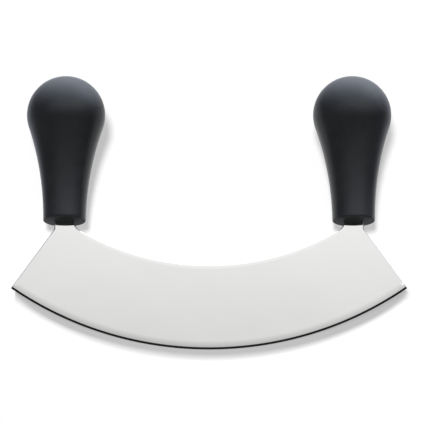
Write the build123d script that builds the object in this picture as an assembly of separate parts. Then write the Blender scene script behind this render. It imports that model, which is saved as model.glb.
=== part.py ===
from build123d import *
import math
import os

# A single-bladed mezzaluna, in millimetres.
# Each piece is drawn in the knife's own plane first: X runs along the blade, Y goes from the cutting edge
# up to the handles, and Z stands out of the blade's face, with the middle of the cutting edge at the origin.
# The finished pieces are then laid on a table together, resting on both balls and on the cutting edge's side.

# Blade
blade_length = 230.0        # straight across, from tip to tip
edge_radius = 200.5         # the cutting edge's curve, seen flat
spine_radius = 147.0        # the hollow side's curve
blade_width = 50.0          # from the cutting edge to the spine, at the middle
blade_thickness = 1.8       # across the ground and polished faces
outline_round_share = 0.33  # of the thickness: the rounding of the spine's, the necks' and the ends' corners
edge_allowance = 1.5        # what the grinding takes off the blank's curved side

# The two grinds along the cutting edge, the same on both faces
bevel_height = 1.2          # the honed flat
bevel_thickness_share = 0.65 # of the thickness: what is left where the honed flat starts
taper_height = 3.6          # the rounded grind above the honed flat

# Necks and tangs
neck_width = 11.6
neck_rise = 3.5             # from the higher corner beside the neck up to the handle
neck_root_radius = 5.4      # the hollow corners on both sides of a neck
tang_shoulder = 1.35        # what the tang is narrower than the neck, on each side
face_grinding = 0.15        # taken off each face of the blade, but not off the tangs
tang_length = 56.0
tang_hole_diameter = 5.0
tang_hole_count = 3

# Handles
handle_inset = 30.5         # from the blade's tip in to the handle's axis
handle_length = 88.0
ball_diameter = 46.2
end_diameter = 25.0         # of the flat end round the neck
rim_round = 1.0             # of that end's corner
skin_wall = 3.8             # the outer moulding's wall over the core

# Grooves round the core, which the outer moulding fills
groove_width = 3.0
groove_depth = 1.4
groove_count = 4

# How far a cutting tool's section stands clear of what it cuts
overrun = 1.0

# Blade, worked out
half_length = blade_length / 2
half_thickness = blade_thickness / 2
end_angle = math.asin(half_length / edge_radius)
outline_round = outline_round_share * blade_thickness
grind_height = bevel_height + taper_height
half_bevel = bevel_thickness_share * half_thickness
taper_depth = half_thickness - half_bevel
taper_radius = (taper_height**2 + taper_depth**2) / (2 * taper_depth)
taper_angle = math.asin(taper_height / taper_radius)


def end_line(distance):
    """The point of the blade's right end that lies this far from the cutting edge's centre."""
    return (distance * math.sin(end_angle), edge_radius - distance * math.cos(end_angle))


def end_line_height(x):
    """How high the right end's line stands at this distance from the middle."""
    return edge_radius - x / math.tan(end_angle)


def spine_height(x):
    """How high the spine stands at this distance from the middle."""
    return blade_width + spine_radius - math.sqrt(spine_radius**2 - x**2)


# Necks and tangs, worked out
axis_x = half_length - handle_inset
neck_outer_x = axis_x + neck_width / 2
neck_inner_x = axis_x - neck_width / 2
neck_outer_root = end_line_height(neck_outer_x)
neck_inner_root = spine_height(neck_inner_x)
handle_end = max(neck_outer_root, neck_inner_root) + neck_rise
tang_width = neck_width - 2 * tang_shoulder
tang_thickness = blade_thickness + 2 * face_grinding

# Handle, worked out: its side is one hollow arc, upright at the flat end and tangent to the ball
ball_radius = ball_diameter / 2
end_radius = end_diameter / 2
ball_height = handle_length - ball_radius
waist_radius = (ball_height**2 - ball_radius**2 + end_radius**2) / (2 * (ball_radius - end_radius))
waist_centre_x = end_radius + waist_radius
waist_angle = math.atan2(ball_height, waist_centre_x)


def mirrored(point):
    """The same point on the knife's left side."""
    return (-point[0], point[1])


def blade_outline():
    """The flat shape of the crescent and its necks, with the grinding allowance still on."""
    tip = end_line(edge_radius + edge_allowance)
    outer_root = (neck_outer_x, neck_outer_root)
    outer_top = (neck_outer_x, handle_end)
    inner_top = (neck_inner_x, handle_end)
    inner_root = (neck_inner_x, neck_inner_root)
    right_side = (tip, outer_root, outer_top, inner_top, inner_root)
    left_side = [mirrored(point) for point in right_side]
    outline = Polyline(*right_side) + Polyline(*left_side)
    outline += ThreePointArc(inner_root, (0, blade_width), mirrored(inner_root))
    outline += ThreePointArc(mirrored(tip), (0, -edge_allowance), tip)
    sheet = make_face(outline)
    roots = (outer_root, inner_root, mirrored(outer_root), mirrored(inner_root))
    hollow_corners = [sheet.vertices().sort_by_distance(root)[0] for root in roots]
    return fillet(hollow_corners, neck_root_radius)


def grinding_side(side):
    """One face's half of the grinding tool's section: round the tool's outside and in to the rounded grind.

    The section stands across the blade's middle, and side is 1 for the upper face and -1 for the lower.
    """
    clear_of_face = side * (half_thickness + overrun)
    clear_of_edge = -edge_allowance - overrun
    taper_top = (0, grind_height, side * half_thickness)
    taper_middle = (
        0,
        grind_height - taper_radius * math.sin(taper_angle / 2),
        side * (half_thickness - taper_radius * (1 - math.cos(taper_angle / 2))),
    )
    taper_foot = (0, bevel_height, side * half_bevel)
    lines = Polyline(
        (0, clear_of_edge, 0), (0, clear_of_edge, clear_of_face), (0, grind_height, clear_of_face), taper_top
    )
    return lines + ThreePointArc(taper_top, taper_middle, taper_foot) + Line(taper_foot, (0, 0, 0))


def edge_grinder():
    """The ring that grinds both faces down to the cutting edge, turned about the edge's centre."""
    section = make_face(grinding_side(1) + grinding_side(-1))
    return revolve(section, Axis((0, edge_radius, 0), (0, 0, 1)), 360)


def ground_blade():
    """The crescent with its necks: flat faces, rounded outline and a ground edge."""
    blank = extrude(blade_outline(), half_thickness, both=True)
    layers = blank.edges().group_by(Axis.Z)
    outline_edges = layers[0] + layers[-1]
    neck_tops = outline_edges.filter_by(lambda edge: edge.center().Y > handle_end - outline_round / 2)
    cutting_side = outline_edges.filter_by(
        lambda edge: edge.geom_type == GeomType.CIRCLE and edge.radius > edge_radius
    )
    rounded = fillet(outline_edges - neck_tops - cutting_side, outline_round)
    return rounded - edge_grinder()


def tang():
    """The right tang: a flat bar with a rounded end and a row of holes, from the handle's end inwards."""
    last_hole = handle_end + tang_length - tang_width / 2
    bar = Pos(axis_x, (handle_end + last_hole) / 2) * Rectangle(tang_width, last_hole - handle_end)
    bar += Pos(axis_x, last_hole) * Circle(tang_width / 2)
    pitch = (last_hole - handle_end) / tang_hole_count
    for i in range(tang_hole_count):
        bar -= Pos(axis_x, last_hole - i * pitch) * Circle(tang_hole_diameter / 2)
    return extrude(bar, tang_thickness / 2, both=True)


def handle_form(wall):
    """The handle's outer form, or with a wall, the same form drawn in by it all over.

    It stands on its own axis, Y, with zero at the handle's flat end.
    """
    ball = ball_radius - wall
    waist = waist_radius + wall
    foot_angle = math.asin(wall / waist)

    def on_ball(angle):
        return (ball * math.cos(angle), ball_height + ball * math.sin(angle))

    def on_waist(angle):
        return (waist_centre_x - waist * math.cos(angle), waist * math.sin(angle))

    top = on_ball(math.pi / 2)
    joining = on_ball(-waist_angle)
    section = ThreePointArc(top, on_ball((math.pi / 2 - waist_angle) / 2), joining)
    section += ThreePointArc(joining, on_waist((waist_angle + foot_angle) / 2), on_waist(foot_angle))
    section += Polyline(on_waist(foot_angle), (0, wall), top)
    return revolve(make_face(section), Axis.Y, 360)


def core_groove(y):
    """The ring that cuts one groove round the core's shank, at this height above the handle's end."""
    floor = waist_centre_x - math.sqrt((waist_radius + skin_wall) ** 2 - y**2) - groove_depth
    section = Pos((floor + ball_radius) / 2, y) * Rectangle(ball_radius - floor, groove_width)
    return revolve(section, Axis.Y, 360)


def handle_core(tang_bar):
    """The right handle's inner moulding, cast round the tang, with studs through the tang's holes."""
    core = handle_form(skin_wall)
    shank = ball_height - ball_radius - skin_wall
    for i in range(groove_count):
        core -= core_groove(skin_wall + shank * (i + 1) / (groove_count + 1))
    return Pos(axis_x, handle_end, 0) * core - tang_bar


def handle_grip(core, tang_bar):
    """The right handle's outer moulding, cast over the core and round the tang."""
    form = handle_form(0)
    rim = form.edges().filter_by(GeomType.CIRCLE).sort_by(Axis.Y)[0]
    return Pos(axis_x, handle_end, 0) * fillet(rim, rim_round) - core - tang_bar


def resting_tilt():
    """The blade's slope when the knife lies on both balls and on its lower face's rounded grind."""
    along = handle_end + ball_height - grind_height
    across = taper_radius - half_thickness
    return math.atan2(across, along) + math.asin((ball_radius - taper_radius) / math.hypot(along, across))


right_tang = tang()
left_tang = mirror(right_tang, Plane.YZ)
blade = ground_blade() + right_tang + left_tang
right_core = handle_core(right_tang)
right_grip = handle_grip(right_core, right_tang)

nodes = {
    "blade": blade,
    "handle_core_left": mirror(right_core, Plane.YZ),
    "handle_core_right": right_core,
    "handle_grip_left": mirror(right_grip, Plane.YZ),
    "handle_grip_right": right_grip,
}

# Laid on the table, with the origin on the table under the middle of the knife
tilt = resting_tilt()
ball_stand = handle_end + ball_height
reach = ball_stand * math.cos(tilt) + ball_radius
laid = Pos(0, -reach / 2, ball_radius - ball_stand * math.sin(tilt)) * Rot(math.degrees(tilt), 0, 0)

os.makedirs("parts", exist_ok=True)
for name, shape in nodes.items():
    export_step(laid * shape, f"parts/{name}.step")

print("tilt", round(math.degrees(tilt), 3), "handle end", round(handle_end, 2), "reach", round(reach, 2))
print("waist radius", round(waist_radius, 1), "taper radius", round(taper_radius, 2))
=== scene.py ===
# %% [markdown]
# # A mezzaluna, laid on a white table
# A mezzaluna is a chopping knife with one curved blade that rocks on a board. Each end of the blade
# has a neck, and a handle with a ball for the palm is moulded round the tang above it. Its solids
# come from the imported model, which Blender loads first and never changes. The pieces made here are
# finer versions of them, with a finish.

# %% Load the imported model
import math

import bmesh
import bpy
from mathutils import Matrix, Vector


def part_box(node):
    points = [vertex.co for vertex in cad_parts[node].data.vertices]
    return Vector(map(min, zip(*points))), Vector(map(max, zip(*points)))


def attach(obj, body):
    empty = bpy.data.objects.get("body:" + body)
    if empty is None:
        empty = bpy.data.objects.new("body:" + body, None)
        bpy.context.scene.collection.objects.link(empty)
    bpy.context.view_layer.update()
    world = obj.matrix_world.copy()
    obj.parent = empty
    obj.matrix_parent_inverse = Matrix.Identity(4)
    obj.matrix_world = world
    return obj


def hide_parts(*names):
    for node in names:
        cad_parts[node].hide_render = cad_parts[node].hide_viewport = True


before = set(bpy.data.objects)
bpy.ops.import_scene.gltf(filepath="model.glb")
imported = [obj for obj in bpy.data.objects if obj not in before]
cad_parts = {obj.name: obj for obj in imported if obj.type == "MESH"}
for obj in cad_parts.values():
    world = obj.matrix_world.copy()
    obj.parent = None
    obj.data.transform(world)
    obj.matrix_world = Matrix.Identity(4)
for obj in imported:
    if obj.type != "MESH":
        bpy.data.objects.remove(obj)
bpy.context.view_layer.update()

print("nodes of the packed model:", sorted(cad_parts))

# %% [markdown]
# ## The knife's own plane
# A blade is easiest to draw flat: x along it, y from the cutting edge up to the handles, z out of
# its face, and zero at the middle of the cutting edge. So each piece is drawn flat, and laid on the
# table when it is finished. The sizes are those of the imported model, and every piece shares them.

# %% Sizes of the blade
mm = 0.001
blade_length = 230 * mm
edge_radius = 200.5 * mm
spine_radius = 147 * mm
blade_width = 50 * mm
blade_thickness = 1.8 * mm
half_thickness = blade_thickness / 2
bevel_height = 1.2 * mm
bevel_half_thickness = 0.585 * mm
taper_height = 3.6 * mm
grind_height = bevel_height + taper_height
taper_depth = half_thickness - bevel_half_thickness
taper_radius = (taper_height**2 + taper_depth**2) / (2 * taper_depth)
end_angle = math.asin(blade_length / 2 / edge_radius)
print("each end's line leans out by", round(math.degrees(end_angle), 2), "degrees")

# %% Sizes of the necks and handles
axis_x = 84.5 * mm
neck_width = 11.6 * mm
neck_rise = 3.5 * mm
neck_outer_x = axis_x + neck_width / 2
neck_inner_x = axis_x - neck_width / 2
neck_outer_root = edge_radius - neck_outer_x / math.tan(end_angle)
spine_centre = blade_width + spine_radius
neck_inner_root = spine_centre - math.sqrt(spine_radius**2 - neck_inner_x**2)
handle_end = max(neck_outer_root, neck_inner_root) + neck_rise

handle_length = 88 * mm
ball_radius = 23.1 * mm
end_radius = 12.5 * mm
ball_height = handle_length - ball_radius
print("the handles start", round(handle_end / mm, 2), "mm above the cutting edge")

# %% [markdown]
# ## How the knife lies
# The knife rests on both balls and on the rounded grind beside its edge. Seen from the side, a ball
# and the grind are two arcs that touch one line, the table, and the line gives the slope. One turn
# and one move lay a piece down.

# %% The turn and the move
stand = handle_end + ball_height
along = stand - grind_height
across = taper_radius - half_thickness
ball_over_grind = math.asin((ball_radius - taper_radius) / math.hypot(along, across))
tilt = math.atan2(across, along) + ball_over_grind
reach = stand * math.cos(tilt) + ball_radius
lift_off = Matrix.Translation((0, -reach / 2, ball_radius - stand * math.sin(tilt)))
laid = lift_off @ Matrix.Rotation(tilt, 4, "X")
print("the blade slopes", round(math.degrees(tilt), 2), "degrees")
ball_centre = laid @ Vector((axis_x, stand, 0))
print("the ball's centre is at", [round(c / mm, 2) for c in ball_centre], "mm")

# %% [markdown]
# ## The camera
# The picture is taken from over the cutting edge, nearly square to the blade, with a long lens that
# hardly bends the perspective. The camera is set in the knife's plane: it aims at a point between
# the handles and stands back from it, leaning a few degrees towards the edge. The focal length
# follows from the picture's scale there.

# %% Camera
aim = Vector((1.409 * mm, 82.379 * mm, 0))
camera_distance = 1507 * mm
camera_lean = math.radians(14.91)
film_width = 36
picture_width = 423
pixel_at_aim = 0.585 * mm

rightward = Vector((1, 0, 0))
upward = Vector((0, math.cos(camera_lean), math.sin(camera_lean)))
backward = Vector((0, -math.sin(camera_lean), math.cos(camera_lean)))
turn = laid.to_3x3() @ Matrix((rightward, upward, backward)).transposed()
eye = laid @ (aim + camera_distance * backward)

bpy.ops.object.select_all(action="DESELECT")
bpy.ops.object.camera_add(location=eye, rotation=turn.to_euler())
camera = bpy.context.active_object
camera.name = "camera"
camera.data.sensor_width = film_width
camera.data.lens = film_width * camera_distance / (pixel_at_aim * picture_width)
camera.data.dof.use_dof = False
bpy.context.scene.camera = camera
print("lens", round(camera.data.lens, 1), "mm, camera at", [round(c, 3) for c in camera.location])

# %% [markdown]
# ## Node helpers
# Every material below is a small tree of nodes. A helper adds a node, and sets its options and its
# inputs: an input is either a plain value or the output of another node. That keeps each recipe
# readable from top to bottom.

# %% Helpers for nodes
def add_node(tree, kind, options=None, inputs=None):
    """Adds a node to a tree, and fills its inputs with values or with other nodes' outputs."""
    node = tree.nodes.new(kind)
    for name, value in (options or {}).items():
        setattr(node, name, value)
    for name, value in (inputs or {}).items():
        if isinstance(value, bpy.types.NodeSocket):
            tree.links.new(value, node.inputs[name])
        else:
            node.inputs[name].default_value = value
    return node


def math_node(tree, operation, *values):
    """One sum on a single number at each point."""
    inputs = dict(enumerate(values))
    return add_node(tree, "ShaderNodeMath", {"operation": operation}, inputs).outputs[0]


def split(tree, vector):
    """The x, y and z of a vector."""
    parts = add_node(tree, "ShaderNodeSeparateXYZ", inputs={"Vector": vector}).outputs
    return parts["X"], parts["Y"], parts["Z"]


def remap(tree, value, low, high, to_low, to_high, smooth=False):
    """Stretches a range of values on to another, and holds it there beyond both ends."""
    kind = {"interpolation_type": "SMOOTHSTEP" if smooth else "LINEAR"}
    inputs = {
        "Value": value, "From Min": low, "From Max": high, "To Min": to_low, "To Max": to_high,
    }
    return add_node(tree, "ShaderNodeMapRange", kind, inputs).outputs["Result"]


# %% Helpers for greys and mixtures
# For each kind of thing that a Mix node blends: its two inputs and its output
mix_sockets = {"FLOAT": (2, 3, 0), "VECTOR": (4, 5, 1), "RGBA": (6, 7, 2)}


def mix(tree, kind, share, first, second):
    """The first thing where the share is 0, the second where it is 1, and a blend between them."""
    first_input, second_input, output = mix_sockets[kind]
    inputs = {"Factor": share, first_input: first, second_input: second}
    return add_node(tree, "ShaderNodeMix", {"data_type": kind}, inputs).outputs[output]


def grey(level):
    """A grey as a colour."""
    return (level, level, level, 1)


def ramp(tree, value, stops):
    """A grey that runs through the given stops, each a place from 0 to 1 and a level."""
    node = add_node(tree, "ShaderNodeValToRGB", inputs={"Fac": value})
    elements = node.color_ramp.elements
    while len(elements) < len(stops):
        elements.new(0.5)
    for element, (place, level) in zip(elements, stops):
        element.position = place
        element.color = grey(level)
    return node.outputs["Color"]


# %% [markdown]
# ## The room
# A polished blade shows the room more than itself, so the light is drawn first. The room is a white
# tent: bright overhead, brighter still towards the back, and dark above the photographer. The blade
# mirrors the top, which makes it light grey. The honed bevel leans just far enough to mirror the
# dark part, which makes it a black line. A ramp over the angle from straight up sets how bright
# the tent is: angles below zero lie towards the back, and angles above zero towards the viewer.

# %% The tent's brightness from back to front
world = bpy.data.worlds.new("white_tent")
bpy.context.scene.world = world
world.use_nodes = True
tree = world.node_tree
tree.nodes.clear()

direction = add_node(tree, "ShaderNodeTexCoord").outputs["Generated"]
towards_right, towards_back, towards_top = split(tree, direction)
towards_viewer = math_node(tree, "MULTIPLY", towards_back, -1.0)
angle_from_top = math_node(tree, "ARCTAN2", towards_viewer, towards_top)

# Degrees from straight up, and the tent's level there
tent_levels = [
    (-180, 0.6), (-140, 0.9), (-120, 1.25), (-108, 1.75), (-98, 2.4), (-88, 2.9), (-76, 3.1),
    (-62, 2.9), (-49, 2.35), (-36, 1.7), (-22, 1.3), (-12, 1.2), (-5.5, 1.17), (-2.2, 0.9),
    (3, 0.6), (9, 0.38), (17, 0.25), (23, 0.11), (29, 0.03), (38, 0.03), (52, 0.03),
    (62, 0.2), (90, 0.3), (150, 0.4),
]
brightest = max(level for angle, level in tent_levels)
tent = ramp(
    tree, remap(tree, angle_from_top, -math.pi, math.pi, 0.0, 1.0),
    [((angle + 180) / 360, level / brightest) for angle, level in tent_levels],
)
print("the tent's levels run up to", brightest)

# %% [markdown]
# ## The room's sides
# The tent gets dimmer towards both sides, and sooner on the left, which shades the round balls and
# shanks from side to side. Faint walls close both ends, so that the blade isn't black when it is
# seen from there. Far below the table's level the room is light again, for the undersides. What
# comes from the back is slightly blue.

# %% Its sides
# From the left end, 0, to the right end, 1: the share of the tent's brightness that is left
side_shares = [
    (0.0, 0.02), (0.05, 0.07), (0.125, 0.25), (0.26, 0.62), (0.39, 0.87), (0.5, 0.96),
    (0.62, 1.0), (0.77, 1.0), (0.88, 0.72), (0.96, 0.3), (1.0, 0.04),
]
wall_brightness = 0.09
floor_brightness = 0.75
bluish = (0.95, 1.0, 1.13, 1)

side = ramp(tree, remap(tree, towards_right, -1.0, 1.0, 0.0, 1.0), side_shares)
tent_level = math_node(tree, "MULTIPLY", math_node(tree, "MULTIPLY", tent, side), brightest)
sideways = math_node(tree, "ABSOLUTE", towards_right)
wall_level = remap(tree, sideways, 0.8, 1.0, 0.0, wall_brightness)
floor_level = remap(tree, towards_top, -0.12, -0.75, 0.0, floor_brightness)
walled_level = math_node(tree, "MAXIMUM", tent_level, wall_level)
mirrored_level = math_node(tree, "MAXIMUM", walled_level, floor_level)
from_back = remap(
    tree, angle_from_top, math.radians(-45), math.radians(-10), 1.0, 0.0, smooth=True
)
mirrored_colour = mix(tree, "RGBA", from_back, grey(1), bluish)
print("the left end keeps", side_shares[0][1], "of the light and the right end", side_shares[-1][1])

# %% [markdown]
# ## What each kind of ray sees
# A Light Path node tells the rays apart. Mirrored rays see the drawn room. Rays that light a rough
# surface get a low plain level instead, and the lamp adds the rest, so that a colour renders about
# as it is written. The camera sees plain white beyond the table, as in a studio picture.

# %% Three kinds of ray
plain_level = 0.2
path = add_node(tree, "ShaderNodeLightPath")


def shine(tree, colour, strength):
    """A light that comes from all round."""
    inputs = {"Color": colour, "Strength": strength}
    return add_node(tree, "ShaderNodeBackground", inputs=inputs).outputs[0]


def choose(tree, share, first, second):
    """The first light where the share is 0, and the second where it is 1."""
    return add_node(tree, "ShaderNodeMixShader", inputs={0: share, 1: first, 2: second}).outputs[0]


seen_in_gloss = math_node(
    tree, "MAXIMUM", path.outputs["Is Glossy Ray"], path.outputs["Is Transmission Ray"]
)
room_light = shine(tree, grey(1), plain_level)
mirrored_room = shine(tree, mirrored_colour, mirrored_level)
white_backdrop = shine(tree, grey(1), 1.0)
lit = choose(tree, seen_in_gloss, room_light, mirrored_room)
seen = choose(tree, path.outputs["Is Camera Ray"], lit, white_backdrop)
add_node(tree, "ShaderNodeOutputWorld", inputs={"Surface": seen})
print("room:", len(tree.nodes), "nodes")

# %% [markdown]
# ## The lamp
# One soft lamp hangs nearly overhead, a little to the left, and draws the handles' shadows to
# their right. It is a sun lamp with a wide angle, which gives the soft rim that a big diffuser
# does. Mirrored rays don't see it, because the drawn room already has the tent's brightness.

# %% Soft lamp
lamp_from = Vector((-0.112, 0.01, 1.0))
lamp_strength = 2.56
lamp_spread = math.radians(13)
bpy.ops.object.select_all(action="DESELECT")
bpy.ops.object.light_add(type="SUN", rotation=lamp_from.to_track_quat("Z", "Y").to_euler())
lamp = bpy.context.active_object
lamp.name = "soft_lamp"
lamp.data.energy = lamp_strength
lamp.data.angle = lamp_spread
lamp.visible_glossy = False
print("lamp from", [round(c, 2) for c in lamp_from.normalized()])

# %% [markdown]
# ## The table
# The table is one plain rectangle, only a little larger than the knife, so that the handles' sides
# mirror the dim room beyond it.

# %% Table
table_left, table_right = -113 * mm, 128 * mm
table_front, table_back = -94 * mm, 92 * mm
table_middle = ((table_left + table_right) / 2, (table_front + table_back) / 2, 0)
bpy.ops.object.select_all(action="DESELECT")
bpy.ops.mesh.primitive_plane_add(size=1, location=table_middle)
table = bpy.context.active_object
table.name = "table"
table.scale = (table_right - table_left, table_back - table_front, 1)
print("table:", [round(side_length / mm) for side_length in table.scale[:2]], "mm")

# %% [markdown]
# ## The table's paint
# The paint is white, and what the camera sees of it is lifted a little, so that only the deeper
# part of a shadow shows. That comes from the material and not from stronger lamps, so the steel
# keeps its own brightness. A mirrored ray sees the lift only where the table is close by, as beside
# a handle's rim. The blade lies so low that the lamp draws hardly any shadow in front of its edge.
# An Ambient Occlusion node adds a soft one: it looks from the table towards the blade, and the
# paint in front of the blade darkens where the steel is close that way.

# %% What is seen of the lift
def new_material(name):
    """An empty material, and its node tree."""
    material = bpy.data.materials.new(name)
    material.use_nodes = True
    material.node_tree.nodes.clear()
    return material, material.node_tree


table_paint, tree = new_material("table_paint")
lift_level = 0.46
full_lift_within = 15 * mm
no_lift_beyond = 50 * mm

path = add_node(tree, "ShaderNodeLightPath")
close_by = remap(tree, path.outputs["Ray Length"], full_lift_within, no_lift_beyond, 1.0, 0.0)
mirrored_close = math_node(tree, "MULTIPLY", path.outputs["Is Glossy Ray"], close_by)
seen_directly = math_node(tree, "MAXIMUM", path.outputs["Is Camera Ray"], mirrored_close)
seen_at_all = math_node(tree, "MAXIMUM", seen_directly, path.outputs["Is Transmission Ray"])
lift_strength = math_node(tree, "MULTIPLY", seen_at_all, lift_level)
lift = add_node(tree, "ShaderNodeEmission", inputs={"Color": grey(1), "Strength": lift_strength})
print("the table is lifted by", lift_level)

# %% The soft shadow in front of the edge
shadow_width = 7.6 * mm
towards_blade = {"X": -0.42, "Y": 0.85, "Z": 0.32}
shaded_paint, white_paint = grey(0.07), grey(0.57)
darkest_openness, plain_openness = 0.875, 0.993

blade_side = add_node(tree, "ShaderNodeCombineXYZ", inputs=towards_blade).outputs[0]
nearness = add_node(
    tree, "ShaderNodeAmbientOcclusion", {"samples": 64},
    {"Distance": shadow_width, "Normal": blade_side},
)
open_share = remap(tree, nearness.outputs["AO"], darkest_openness, plain_openness, 0.0, 1.0)
on_table = add_node(tree, "ShaderNodeTexCoord").outputs["Object"]
# In shares of the table's depth, from its middle: the shadow fades out under the blade
beyond_blade = remap(tree, split(tree, on_table)[1], -0.19, -0.13, 0.0, 1.0)
unshaded = math_node(tree, "MAXIMUM", open_share, beyond_blade)
paint_colour = mix(tree, "RGBA", unshaded, shaded_paint, white_paint)
paint = add_node(tree, "ShaderNodeBsdfDiffuse", inputs={"Color": paint_colour})
both = add_node(tree, "ShaderNodeAddShader", inputs={0: paint.outputs[0], 1: lift.outputs[0]})
add_node(tree, "ShaderNodeOutputMaterial", inputs={"Surface": both.outputs[0]})
table.data.materials.append(table_paint)
print("table paint:", len(tree.nodes), "nodes")

# %% [markdown]
# ## Tracing with operators
# The pieces start as lines. A tiny plane is merged to one point, and the point is extruded along
# straight runs and spun along arcs, as one would do by hand in edit mode. In Blender without a
# window, spin turns the other way round, so the helper turns its sign, and an angle that counts
# anticlockwise is given here as positive.

# %% Helpers for tracing
weld = 0.001 * mm  # points closer than this become one point
near = 0.01 * mm  # a point this close to a line counts as on it


def only(piece):
    """Selects this piece and nothing else, because operators act on all that is selected."""
    bpy.ops.object.select_all(action="DESELECT")
    piece.select_set(True)
    bpy.context.view_layer.objects.active = piece


def start_line(name, x, y, z=0.0):
    """A new object that is a single point, in edit mode, ready to be drawn on."""
    bpy.ops.object.select_all(action="DESELECT")
    bpy.ops.mesh.primitive_plane_add(size=mm, location=(x, y, z))
    piece = bpy.context.active_object
    piece.name = piece.data.name = name
    bpy.ops.object.transform_apply(location=True, rotation=True, scale=True)
    bpy.ops.object.mode_set(mode="EDIT")
    bpy.ops.mesh.select_mode(type="VERT")
    bpy.ops.mesh.select_all(action="SELECT")
    bpy.ops.mesh.merge(type="CENTER")
    return piece


def pen(piece):
    """Where the line ends now: the only selected point."""
    return next(v.co.copy() for v in bmesh.from_edit_mesh(piece.data).verts if v.select)


def line_to(piece, x, y, z=0.0):
    """A straight run to this point."""
    step = Vector((x, y, z)) - pen(piece)
    bpy.ops.mesh.extrude_region_move(TRANSFORM_OT_translate={"value": step})


def arc_round(centre, degrees, steps, axis=(0, 0, 1)):
    """An arc about a centre, anticlockwise as seen from the axis' tip."""
    bpy.ops.mesh.spin(steps=steps, angle=-math.radians(degrees), center=centre, axis=axis)


# %% Helpers for closing, cutting and measuring
def close_mesh():
    """Welds the doubles, turns every face outwards and leaves edit mode."""
    bpy.ops.mesh.select_all(action="SELECT")
    bpy.ops.mesh.remove_doubles(threshold=weld)
    bpy.ops.mesh.normals_make_consistent(inside=False)
    bpy.ops.object.mode_set(mode="OBJECT")


def thicken(half):
    """Fills the drawn outline, gives it this much on both sides of its plane and closes it."""
    bpy.ops.mesh.select_all(action="SELECT")
    bpy.ops.mesh.edge_face_add()
    bpy.ops.transform.translate(value=(0, 0, -half))
    bpy.ops.mesh.extrude_region_move(TRANSFORM_OT_translate={"value": (0, 0, 2 * half)})
    close_mesh()


def apply_modifier(piece, kind, **options):
    """Adds a modifier, sets it and applies it at once."""
    only(piece)
    modifier = piece.modifiers.new(kind.lower(), kind)
    for name, value in options.items():
        setattr(modifier, name, value)
    bpy.ops.object.modifier_apply(modifier=modifier.name)


def mirror_across(piece, **options):
    """Adds the left half to a piece whose right half is drawn."""
    apply_modifier(piece, "MIRROR", use_axis=(True, False, False), **options)


def cut(piece, tool, operation="DIFFERENCE"):
    """Takes a tool's shape away from a piece, or joins the two, and then removes the tool."""
    apply_modifier(piece, "BOOLEAN", object=tool, operation=operation, solver="EXACT")
    bpy.data.objects.remove(tool)


def describe(piece):
    """Prints what a mesh is made of, and whether it is closed."""
    shape = bmesh.new()
    shape.from_mesh(piece.data)
    open_edges = sum(not e.is_manifold for e in shape.edges)
    triangles = sum(len(f.verts) - 2 for f in shape.faces)
    volume = round(shape.calc_volume() / mm**3)
    print(piece.name, triangles, "triangles,", open_edges, "open edges,", volume, "cubic mm")
    shape.free()


# %% [markdown]
# ## The blade's blank
# The real blade is stamped from stainless sheet: a crescent with straight radial ends, and two
# necks. Half of its outline is drawn, mirrored and filled, and given its thickness. The curved side
# keeps a little more than the finished blade needs, because grinding takes it off later.

# %% The cutting side and the neck's outer corner
edge_allowance = 1.5 * mm
root_radius = 5.4 * mm
edge_steps, spine_steps, root_steps = 80, 60, 8
edge_centre = (0, edge_radius, 0)

blade = start_line("blade_steel", 0, -edge_allowance)
arc_round(edge_centre, math.degrees(end_angle), edge_steps)

outer_bend = math.pi - end_angle
outer_run = root_radius / math.tan(outer_bend / 2)
line_to(
    blade,
    neck_outer_x + outer_run * math.sin(end_angle),
    neck_outer_root - outer_run * math.cos(end_angle),
)
outer_fillet = (neck_outer_x + root_radius, neck_outer_root + outer_run, 0)
arc_round(outer_fillet, -math.degrees(end_angle), root_steps)
line_to(blade, neck_outer_x, handle_end)
print("the outline has come to", [round(c / mm, 2) for c in pen(blade)], "mm")

# %% The neck's inner corner and the spine
line_to(blade, neck_inner_x, handle_end)
fillet_reach = spine_radius - root_radius
inner_fillet_x = neck_inner_x - root_radius
inner_fillet_y = spine_centre - math.sqrt(fillet_reach**2 - inner_fillet_x**2)
line_to(blade, neck_inner_x, inner_fillet_y)
inner_bend = math.degrees(math.asin(inner_fillet_x / fillet_reach))
arc_round((inner_fillet_x, inner_fillet_y, 0), inner_bend - 90, root_steps)
arc_round((0, spine_centre, 0), -inner_bend, spine_steps)
bpy.ops.object.mode_set(mode="OBJECT")
mirror_across(blade, merge_threshold=near)
print(len(blade.data.vertices), "points on the outline")

# %% Fill it and give it thickness
only(blade)
bpy.ops.object.mode_set(mode="EDIT")
thicken(half_thickness)
describe(blade)

# %% [markdown]
# ## The stamped corners
# The corners of the spine, the ends and the necks are rounded over, which gives the spine the
# bright line that runs along it. The cutting side is left square for the grinding, and so are the
# necks' tops, which end against the handles.

# %% Round the outline's corners
outline_round = 0.33 * blade_thickness
round_steps = 6
blank_radius = edge_radius + edge_allowance


def from_edge_centre(point):
    """How far a point lies from the cutting edge's centre, seen flat."""
    return (Vector((point.x, point.y, 0)) - Vector(edge_centre)).length


def stamped_corner(edge):
    """Whether an edge lies flat on a face of the blank, and is one of those that are rounded."""
    a, b = (v.co for v in edge.verts)
    level = abs(a.z - b.z) < weld
    neck_top = min(a.y, b.y) > handle_end - weld
    cutting_side = min(from_edge_centre(a), from_edge_centre(b)) > blank_radius - near
    return level and not neck_top and not cutting_side


def select_edges(piece, wanted_edge):
    """Goes into edit mode with only the edges selected that pass a test."""
    only(piece)
    bpy.ops.object.mode_set(mode="EDIT")
    bpy.ops.mesh.select_mode(type="EDGE")
    bpy.ops.mesh.select_all(action="DESELECT")
    for edge in bmesh.from_edit_mesh(piece.data).edges:
        edge.select_set(wanted_edge(edge))
    bmesh.update_edit_mesh(piece.data)


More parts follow.
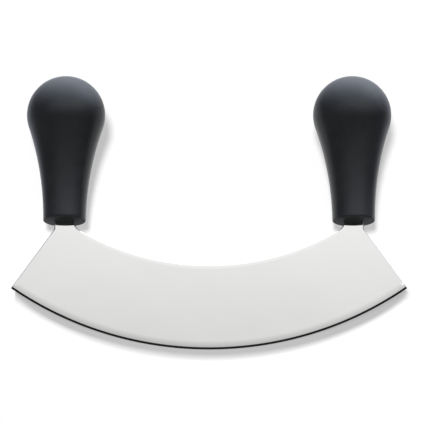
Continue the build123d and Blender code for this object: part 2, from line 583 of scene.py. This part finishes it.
select_edges(blade, stamped_corner)
bpy.ops.mesh.bevel(
    offset=outline_round, segments=round_steps, profile=0.5, affect="EDGES", clamp_overlap=False
)
close_mesh()
describe(blade)

# %% [markdown]
# ## Grinding the edge
# A blade is ground from both faces. The grinder's section is a V with hollow flanks: two narrow
# flats that meet at the cutting edge, and above each a long shallow arc that runs out in the
# blade's face. The section is drawn across the blade's middle, spun about the cutting edge's centre
# and taken away from the blank.

# %% The grinder's section
clear = 1 * mm
outside = -edge_allowance - clear
above = half_thickness + clear
taper_turn = math.degrees(math.asin(taper_height / taper_radius))
taper_centre = taper_radius - half_thickness
taper_steps = 10

ring = start_line("grinding_ring", 0, grind_height, half_thickness)
arc_round((0, grind_height, -taper_centre), taper_turn, taper_steps, axis=(1, 0, 0))
line_to(ring, 0, 0, 0)
line_to(ring, 0, bevel_height, -bevel_half_thickness)
arc_round((0, grind_height, taper_centre), taper_turn, taper_steps, axis=(1, 0, 0))
for y, z in (
    (grind_height, -above), (outside, -above), (outside, above), (grind_height, above),
    (grind_height, half_thickness),
):
    line_to(ring, 0, y, z)
bpy.ops.mesh.select_all(action="SELECT")
bpy.ops.mesh.remove_doubles(threshold=weld)
print("the rounded grind turns by", round(taper_turn, 1), "degrees")

# %% Spin it and grind the blade
half_ring = 38
arc_round(edge_centre, half_ring, 2 * half_ring)
bpy.ops.mesh.edge_face_add()
bpy.ops.object.mode_set(mode="OBJECT")
mirror_across(ring, merge_threshold=weld)
only(ring)
bpy.ops.object.mode_set(mode="EDIT")
close_mesh()
describe(ring)
cut(blade, ring)
describe(blade)

# %% [markdown]
# ## The tangs
# Each neck goes on inside its handle as a tang: a flat bar with a rounded end and three holes.
# Plastic flows through the holes and holds the handle on. The tang keeps the sheet's full
# thickness, because only the blade is ground and polished. It is drawn once, drilled, mirrored and
# joined to the blade.

# %% Tangs
tang_width = 8.9 * mm
tang_length = 56 * mm
tang_half_thickness = half_thickness + 0.15 * mm
tang_hole_radius = 2.5 * mm
tang_hole_count = 3
drill_length = 4 * mm
tang_end_steps, hole_sides = 24, 48
last_hole = handle_end + tang_length - tang_width / 2
hole_pitch = (last_hole - handle_end) / tang_hole_count


def tang_bar(name):
    """The right tang as a plain bar, without its holes."""
    bar = start_line(name, axis_x - tang_width / 2, handle_end)
    line_to(bar, axis_x - tang_width / 2, last_hole)
    arc_round((axis_x, last_hole, 0), -180, tang_end_steps)
    line_to(bar, axis_x + tang_width / 2, handle_end)
    thicken(tang_half_thickness)
    return bar


tangs = tang_bar("tangs")
for i in range(tang_hole_count):
    bpy.ops.object.select_all(action="DESELECT")
    bpy.ops.mesh.primitive_cylinder_add(
        vertices=hole_sides, radius=tang_hole_radius, depth=drill_length,
        location=(axis_x, last_hole - i * hole_pitch, 0),
    )
    cut(tangs, bpy.context.active_object)
mirror_across(tangs, use_mirror_merge=False)
cut(blade, tangs, "UNION")
describe(blade)

# %% [markdown]
# ## The blade's shading
# The broad flat has to mirror like glass, so its corners take their normals from the largest face
# beside them, and the honed flats keep a crisp shoulder. The finished blade is then laid down, and
# the turn and the move go into its mesh.

# %% Shade the blade
shoulder_radius = edge_radius - bevel_height
shoulder_slack = 0.02 * mm
blade_crease = math.radians(24)


def honed_shoulder(edge):
    """Whether an edge lies on the line where a honed flat meets the rounded grind."""
    return all(
        abs(v.co.z) > bevel_half_thickness - shoulder_slack
        and abs(from_edge_centre(v.co) - shoulder_radius) < shoulder_slack
        for v in edge.verts
    )


only(blade)
bpy.ops.object.shade_smooth_by_angle(angle=blade_crease)
select_edges(blade, honed_shoulder)
bpy.ops.mesh.mark_sharp()
bpy.ops.object.mode_set(mode="OBJECT")
apply_modifier(blade, "WEIGHTED_NORMAL", keep_sharp=True, mode="FACE_AREA", weight=100)
print(sum(edge.use_edge_sharp for edge in blade.data.edges), "sharp edges on the blade")


# %% Lay it down
def lay_down(piece):
    """Turns and moves a piece from the knife's plane to the table, with its place in its mesh."""
    only(piece)
    piece.matrix_world = laid @ piece.matrix_world
    bpy.ops.object.transform_apply(location=True, rotation=True, scale=True)


lay_down(blade)
for end, packed in zip((min, max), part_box("blade")):
    mine = Vector([end(v.co[i] for v in blade.data.vertices) for i in range(3)])
    print("the blade's corner differs by", [round(c / mm, 3) for c in mine - packed], "mm")

# %% [markdown]
# ## The grips
# Each handle is turned in form: a ball for the palm, a waist for the fingers and a flat end round
# the neck. Such a form is half of its outline, spun about its axis. The same drawing, taken in by
# the wall's thickness and with grooves in it, is the form of the core inside, and it is cut out of
# the grip so that the two fit.

# %% One drawing for the grip and its core
waist_bulge = ball_height**2 - ball_radius**2 + end_radius**2
waist_radius = waist_bulge / (2 * (ball_radius - end_radius))
waist_centre_x = end_radius + waist_radius
waist_angle = math.atan2(ball_height, waist_centre_x)
rim_round = 1 * mm
skin_wall = 3.8 * mm
ball_steps, waist_steps, rim_steps, grip_turn_steps = 56, 36, 8, 160
print("waist radius", round(waist_radius / mm, 1), "mm")


def waist_x(height, wall):
    """How far the waist's arc stands from the handle's axis, at this height above the flat end."""
    return waist_centre_x - math.sqrt((waist_radius + wall) ** 2 - height**2)


def down_the_waist(piece, height, wall, steps):
    """Goes on round the waist's arc, down to this height."""
    radius = waist_radius + wall
    turned = math.asin(pen(piece).y / radius) - math.asin(height / radius)
    arc_round((waist_centre_x, 0, 0), math.degrees(turned), steps)


def half_handle(name, wall):
    """Draws the outline from the top of the ball down to the waist, on the handle's own axis."""
    line = start_line(name, 0, ball_height + ball_radius - wall)
    arc_round((0, ball_height, 0), -90 - math.degrees(waist_angle), ball_steps)
    return line


def spun_round(piece, steps):
    """Spins the drawn half about the handle's axis into a closed form, and moves it to its neck."""
    bpy.ops.mesh.select_all(action="SELECT")
    arc_round((0, 0, 0), 360, steps, axis=(0, 1, 0))
    close_mesh()
    only(piece)
    piece.location = (axis_x, handle_end, 0)
    bpy.ops.object.transform_apply(location=True, rotation=True, scale=True)


# %% The grip's outer form
grip_right = half_handle("grip_right", 0)
rim_rise = math.asin(rim_round / (waist_radius + rim_round))
rim_centre_x = waist_centre_x - (waist_radius + rim_round) * math.cos(rim_rise)
down_the_waist(grip_right, waist_radius * math.sin(rim_rise), 0, waist_steps)
arc_round((rim_centre_x, rim_round, 0), math.degrees(rim_rise) - 90, rim_steps)
line_to(grip_right, 0, 0)
spun_round(grip_right, grip_turn_steps)
describe(grip_right)

# %% [markdown]
# ## The grip's hollow
# The grip is moulded over a core, and its plastic fills the grooves round the core's shank, so that
# it can't pull off. The hollow is drawn from the ball down: the waist's arc is followed to each
# groove, and three straight runs go in, along and out again. The tang's slot is cut last.

# %% The core's form, cut out of the grip
groove_width = 3 * mm
groove_depth = 1.4 * mm
groove_count = 4
shank_steps, core_turn_steps = 8, 96
shank = ball_height - ball_radius - skin_wall

cavity = half_handle("cavity", skin_wall)
for i in reversed(range(groove_count)):
    groove = skin_wall + shank * (i + 1) / (groove_count + 1)
    top, foot = groove + groove_width / 2, groove - groove_width / 2
    groove_floor = waist_x(groove, skin_wall) - groove_depth
    down_the_waist(cavity, top, skin_wall, shank_steps)
    line_to(cavity, groove_floor, top)
    line_to(cavity, groove_floor, foot)
    line_to(cavity, waist_x(foot, skin_wall), foot)
down_the_waist(cavity, skin_wall, skin_wall, shank_steps)
line_to(cavity, 0, skin_wall)
spun_round(cavity, core_turn_steps)
cut(grip_right, cavity)
cut(grip_right, tang_bar("slot"))
describe(grip_right)

# %% [markdown]
# ## Two grips
# Both handles come out of the same kind of mould. The right grip is shaded smooth, except where its
# faces meet at a corner, and the left one is a copy with its own mesh, mirrored across the knife's
# middle. Mirroring turns a shape inside out, so the copy's faces are flipped back.

# %% Shade it, and mirror a copy for the left
grip_crease = math.radians(30)
only(grip_right)
bpy.ops.object.shade_smooth_by_angle(angle=grip_crease)
apply_modifier(grip_right, "WEIGHTED_NORMAL", keep_sharp=True, mode="FACE_AREA", weight=60)

only(grip_right)
bpy.ops.object.duplicate()
grip_left = bpy.context.active_object
grip_left.name = grip_left.data.name = "grip_left"
bpy.ops.object.mode_set(mode="EDIT")
bpy.ops.mesh.select_all(action="SELECT")
bpy.ops.transform.resize(value=(-1, 1, 1), center_override=(0, 0, 0))
bpy.ops.mesh.flip_normals()
bpy.ops.object.mode_set(mode="OBJECT")
describe(grip_left)
for grip in (grip_left, grip_right):
    lay_down(grip)
    low, high = grip.bound_box[0], grip.bound_box[6]
    print(grip.name, [round(c / mm, 2) for c in low], [round(c / mm, 2) for c in high])

# %% [markdown]
# ## Shared surface effects
# Two effects serve more than one material: fine lines that rubbing and polishing leave, and the
# pebbled skin that an eroded mould gives to plastic. Each is a node group, built once, with inputs
# that say how fine and how deep it is. The grip, the core and the steel place them with their own
# values.

# %% Helpers for textures and groups
def noise(tree, place, scale, detail, roughness):
    """A cloudy value from 0 to 1 that changes from place to place."""
    inputs = {"Vector": place, "Scale": scale, "Detail": detail, "Roughness": roughness}
    return add_node(tree, "ShaderNodeTexNoise", inputs=inputs).outputs["Fac"]


def bump(tree, height, distance, **normal):
    """The surface's normal, as if the surface stood higher by this height times this distance."""
    inputs = {"Height": height, "Distance": distance, "Strength": 1.0, **normal}
    return add_node(tree, "ShaderNodeBump", inputs=inputs).outputs["Normal"]


def new_group(name, takes, gives):
    """A shader node group with named inputs and outputs."""
    group = bpy.data.node_groups.new(name, "ShaderNodeTree")
    for in_out, sockets in (("INPUT", takes), ("OUTPUT", gives)):
        for socket, kind in sockets.items():
            group.interface.new_socket(socket, in_out=in_out, socket_type="NodeSocket" + kind)
    given = group.nodes.new("NodeGroupInput").outputs
    wanted = group.nodes.new("NodeGroupOutput").inputs
    return group, given, wanted


def place_group(tree, group, **inputs):
    """Places a group in a material with this material's own values."""
    return add_node(tree, "ShaderNodeGroup", {"node_tree": group}, inputs).outputs


# %% Fine lines
fine_lines, given, wanted = new_group(
    "fine_lines",
    {"Vector": "Vector", "Fineness": "Float", "Depth": "Float", "Normal": "Vector"},
    {"Streaks": "Float", "Normal": "Vector"},
)
share_of_length = 0.02
drawn_out = {0: given["Vector"], 1: (share_of_length, 1.0, 1.0)}
stretched = add_node(fine_lines, "ShaderNodeVectorMath", {"operation": "MULTIPLY"}, drawn_out)
streaks = noise(fine_lines, stretched.outputs[0], given["Fineness"], 4.0, 0.65)
line_bump = bump(fine_lines, streaks, given["Depth"], Normal=given["Normal"])
fine_lines.links.new(remap(fine_lines, streaks, 0.3, 0.7, 0.0, 1.0), wanted["Streaks"])
fine_lines.links.new(line_bump, wanted["Normal"])
print("group of", len(fine_lines.nodes), "nodes:", fine_lines.name)

# %% The mould's grain
mould_grain, given, wanted = new_group(
    "mould_grain",
    {"Vector": "Vector", "Fineness": "Float", "Depth": "Float"},
    {"Pebbles": "Float", "Cloud": "Float", "Normal": "Vector"},
)
pebbles = noise(mould_grain, given["Vector"], given["Fineness"], 4.0, 0.6)
cloud_fineness = 90.0
cloud = noise(mould_grain, given["Vector"], cloud_fineness, 3.0, 0.5)
grain_bump = bump(mould_grain, pebbles, given["Depth"])
mould_grain.links.new(pebbles, wanted["Pebbles"])
mould_grain.links.new(remap(mould_grain, cloud, 0.35, 0.65, 0.0, 1.0), wanted["Cloud"])
mould_grain.links.new(grain_bump, wanted["Normal"])
print("group of", len(mould_grain.nodes), "nodes:", mould_grain.name)

# %% [markdown]
# ## Steel
# The blade is one piece of steel with four finishes. Its broad flat is polished until it mirrors
# softly, the rounded grind above the edge keeps the wheel's haze, the honed flat has short marks
# straight across the edge, and a narrow rim along both sheared ends stays duller. How far a point
# lies from the cutting edge's centre and from the end's line says which finish it has. The material
# turns the object's coordinates back into the knife's plane to measure that.

# %% Measuring in the knife's plane
def in_knife_plane(tree):
    """The object's coordinates, turned back: x along the blade, y from the edge to the handles."""
    back = laid.inverted()
    place = add_node(tree, "ShaderNodeTexCoord").outputs["Object"]
    turned_back = {
        "Vector": place, "Location": back.to_translation(), "Rotation": back.to_euler(),
    }
    return add_node(tree, "ShaderNodeMapping", inputs=turned_back).outputs["Vector"]


def distance_from(tree, x, y, centre_y):
    """How far a point lies from a centre on the knife's middle line, and its height above it."""
    rise = math_node(tree, "SUBTRACT", y, centre_y)
    x_squared = math_node(tree, "POWER", x, 2.0)
    squares = math_node(tree, "MULTIPLY_ADD", rise, rise, x_squared)
    return math_node(tree, "SQRT", squares), rise


# %% Where each finish lies
steel, tree = new_material("polished_steel")
flat = in_knife_plane(tree)
along_blade, up_blade, off_face = split(tree, flat)
sideways = math_node(tree, "ABSOLUTE", along_blade)
to_centre, from_centre = distance_from(tree, along_blade, up_blade, edge_radius)
bevel_top = edge_radius - bevel_height
grind_top = edge_radius - grind_height
honed = remap(tree, to_centre, bevel_top - 0.02 * mm, bevel_top, 0.0, 1.0)
hollow = remap(tree, to_centre, grind_top - 0.6 * mm, grind_top, 0.0, 1.0)

outwards = math_node(tree, "MULTIPLY", sideways, math.cos(end_angle))
past_end_line = math_node(tree, "MULTIPLY_ADD", from_centre, math.sin(end_angle), outwards)
past_neck = math_node(tree, "SUBTRACT", sideways, neck_outer_x)
past_outline = math_node(tree, "MINIMUM", past_end_line, past_neck)
sheared = remap(tree, past_outline, -0.62 * mm, -0.5 * mm, 0.0, 1.0)
print("the honed flat starts", round(bevel_top / mm, 1), "mm from the edge's centre")

# %% [markdown]
# ## The steel's relief
# The wheel leaves slow waves in the flat, which give its mirror image soft clouds. Along the spine
# the polishing rolls the surface off a little. The rounded grind is shaded flatter than its mesh is
# curved, because the photographed one stays so light. The polish is fine lines along the blade, and
# the honing is deeper lines across the edge, so its coordinates run round the edge's centre.

# %% Waves, the roll at the spine and the flattened grind
wave_fineness = 19.0
wave_depth = 0.085 * mm
roll_width = 2.5
roll_depth = -0.013
grind_flattening = 0.018

haze = noise(tree, flat, wave_fineness, 2.0, 0.4)
wheel_waves = bump(tree, haze, wave_depth)
from_spine_centre, _ = distance_from(tree, along_blade, up_blade, spine_centre)
from_spine = math_node(tree, "SUBTRACT", from_spine_centre, spine_radius)
into_roll = remap(tree, from_spine, 0.0, roll_width * mm, roll_width, 0.0)
between_necks = remap(
    tree, sideways, neck_inner_x - 8 * mm, neck_inner_x - 2 * mm, 1.0, 0.0, smooth=True
)
rolled_off = math_node(
    tree, "MULTIPLY", math_node(tree, "POWER", into_roll, 2.0), between_necks
)
into_grind = remap(tree, to_centre, grind_top, bevel_top, 0.0, taper_height / mm)
flattened = math_node(
    tree, "MULTIPLY", math_node(tree, "POWER", into_grind, 2.0), grind_flattening
)
relief = math_node(tree, "MULTIPLY_ADD", rolled_off, roll_depth, flattened)
rolled = bump(tree, relief, mm, Normal=wheel_waves)
print("the roll at the spine is", roll_width, "mm wide")

# %% Polish and hone marks
polish = place_group(
    tree, fine_lines, Vector=flat, Fineness=2600.0, Depth=0.00012 * mm, Normal=rolled
)
around = math_node(
    tree, "MULTIPLY", math_node(tree, "ARCTAN2", along_blade, from_centre), edge_radius
)
across_edge = add_node(
    tree, "ShaderNodeCombineXYZ", inputs={"X": to_centre, "Y": around, "Z": off_face}
).outputs[0]
hone_marks = place_group(
    tree, fine_lines, Vector=across_edge, Fineness=5200.0, Depth=0.0015 * mm
)
steel_normal = mix(tree, "VECTOR", honed, polish["Normal"], hone_marks["Normal"])
print("steel so far:", len(tree.nodes), "nodes")

# %% [markdown]
# ## The steel's roughness and colour
# The polished flat is nearly a mirror, a little rougher in its clouds and streaks. The honed flat
# and the sheared ends scatter more. Steel has one colour, and the darker colour given to these two
# finishes is painted shade: on the honed flat it deepens the dark line that the flat mirrors, and on
# the sheared ends it dims the bright line that their rounded corners mirror.

# %% Roughness, colour and the shader
polished_colour = (0.755, 0.758, 0.748, 1)
# Painted shade: the honed flat's darker colour deepens the dark line that it mirrors.
honed_painted_shade_colour = (0.34, 0.34, 0.345, 1)
# Painted shade: the sheared ends' darker colour dims the bright line that their corners mirror.
sheared_painted_shade_colour = (0.54, 0.54, 0.535, 1)
clear_roughness, clouded_roughness = 0.035, 0.055
streak_roughness = 0.015
wheel_roughness = 0.06
honed_roughness = 0.13
sheared_roughness = 0.45

in_clouds = remap(tree, haze, 0.35, 0.65, clear_roughness, clouded_roughness)
flat_roughness = math_node(
    tree, "MULTIPLY_ADD", polish["Streaks"], streak_roughness, in_clouds
)
grind_roughness = math_node(tree, "MULTIPLY_ADD", hollow, wheel_roughness, flat_roughness)
ground_roughness = mix(tree, "FLOAT", honed, grind_roughness, honed_roughness)
roughness = mix(tree, "FLOAT", sheared, ground_roughness, sheared_roughness)

# The honed flat takes most of its painted shade.
honed_shade_share = math_node(tree, "MULTIPLY", honed, 0.8)
ground_colour = mix(tree, "RGBA", honed_shade_share, polished_colour, honed_painted_shade_colour)
# The sheared ends take their painted shade in full.
steel_colour = mix(tree, "RGBA", sheared, ground_colour, sheared_painted_shade_colour)


def finish_with(tree, pieces, material, shader_inputs):
    """Ends a material with its shader, and gives it to the pieces."""
    shader = add_node(tree, "ShaderNodeBsdfPrincipled", inputs=shader_inputs)
    add_node(tree, "ShaderNodeOutputMaterial", inputs={"Surface": shader.outputs[0]})
    for piece in pieces:
        piece.data.materials.clear()
        piece.data.materials.append(material)
    print(material.name, "has", len(tree.nodes), "nodes, on", [piece.name for piece in pieces])


finish_with(tree, [blade], steel, {
    "Base Color": steel_colour, "Metallic": 1.0, "Roughness": roughness, "Normal": steel_normal,
})

# %% [markdown]
# ## The grips' plastic
# The grips are black plastic with a fine matte grain, so highlights on them are broad and dim. The
# flat end round the neck is rougher, and its paler colour is painted light, the light that it takes
# from the table below. A handle's height in the knife's plane says where that end is.

# %% Black plastic
blackest = (0.0136, 0.0141, 0.0156, 1)
least_black = (0.0165, 0.0171, 0.0188, 1)
# Painted light: the flat end is paler, as if lit by the table below.
end_face_painted_light_colour = (0.04, 0.041, 0.043, 1)
shiny_patches, dull_patches = 0.24, 0.28
pebble_roughness = 0.1
end_face_roughness = 0.7

grip_plastic, tree = new_material("black_grip_plastic")
place = in_knife_plane(tree)
height = split(tree, place)[1]
end_face = remap(tree, height, handle_end + 0.1 * mm, handle_end + 0.4 * mm, 1.0, 0.0)
grain = place_group(tree, mould_grain, Vector=place, Fineness=850.0, Depth=0.06 * mm)
moulded_colour = mix(tree, "RGBA", grain["Cloud"], blackest, least_black)
# The flat end's paler colour is painted light.
grip_colour = mix(tree, "RGBA", end_face, moulded_colour, end_face_painted_light_colour)
in_patches = remap(tree, grain["Cloud"], 0.0, 1.0, shiny_patches, dull_patches)
moulded_roughness = math_node(
    tree, "MULTIPLY_ADD", grain["Pebbles"], pebble_roughness, in_patches
)
grip_roughness = mix(tree, "FLOAT", end_face, moulded_roughness, end_face_roughness)
finish_with(tree, [grip_left, grip_right], grip_plastic, {
    "Base Color": grip_colour, "Roughness": grip_roughness, "Normal": grain["Normal"],
    # The reflections' blue tint is painted, and stands for the bluish light from the back.
    "Specular IOR Level": 0.44, "Specular Tint": (0.86, 0.93, 1.0, 1),
})

# %% [markdown]
# ## The cores' plastic
# The cores inside are plain moulded plastic in its natural pale colour, with the lines that its
# flow through the mould leaves. Nothing of them shows, but they have a finish too. They are the
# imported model's own nodes, and only take a material here.

# %% Pale plastic
palest = (0.66, 0.655, 0.63, 1)
least_pale = (0.6, 0.6, 0.575, 1)

core_plastic, tree = new_material("natural_core_plastic")
place = add_node(tree, "ShaderNodeTexCoord").outputs["Object"]
grain = place_group(tree, mould_grain, Vector=place, Fineness=1800.0, Depth=0.004 * mm)
flow = place_group(
    tree, fine_lines, Vector=place, Fineness=700.0, Depth=0.002 * mm, Normal=grain["Normal"]
)
core_colour = mix(tree, "RGBA", grain["Cloud"], least_pale, palest)
core_roughness = remap(tree, flow["Streaks"], 0.0, 1.0, 0.38, 0.5)
cores = [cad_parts[name] for name in ("handle_core_left", "handle_core_right")]
finish_with(tree, cores, core_plastic, {
    "Base Color": core_colour, "Roughness": core_roughness, "Normal": flow["Normal"],
})

# %% [markdown]
# ## Handing the pieces over
# Nothing on this knife moves, so every piece rides on the one body. Each finer piece hides the
# imported node that it stands for, and is printed with the name of its finish.

# %% Ride, and hide the imported node
for piece, node, finish in (
    (blade, "blade", "blade_steel"),
    (grip_left, "handle_grip_left", "grip_plastic"),
    (grip_right, "handle_grip_right", "grip_plastic"),
):
    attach(piece, "root")
    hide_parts(node)
    print(piece.name, "stands for", node, "in", finish)

# %% [markdown]
# ## The picture's settings
# The view transform is Standard, so that a colour in a material is the colour in the picture. The
# finer pieces have to fill the same box as the imported ones.

# %% Settings
bpy.context.scene.view_settings.view_transform = "Standard"
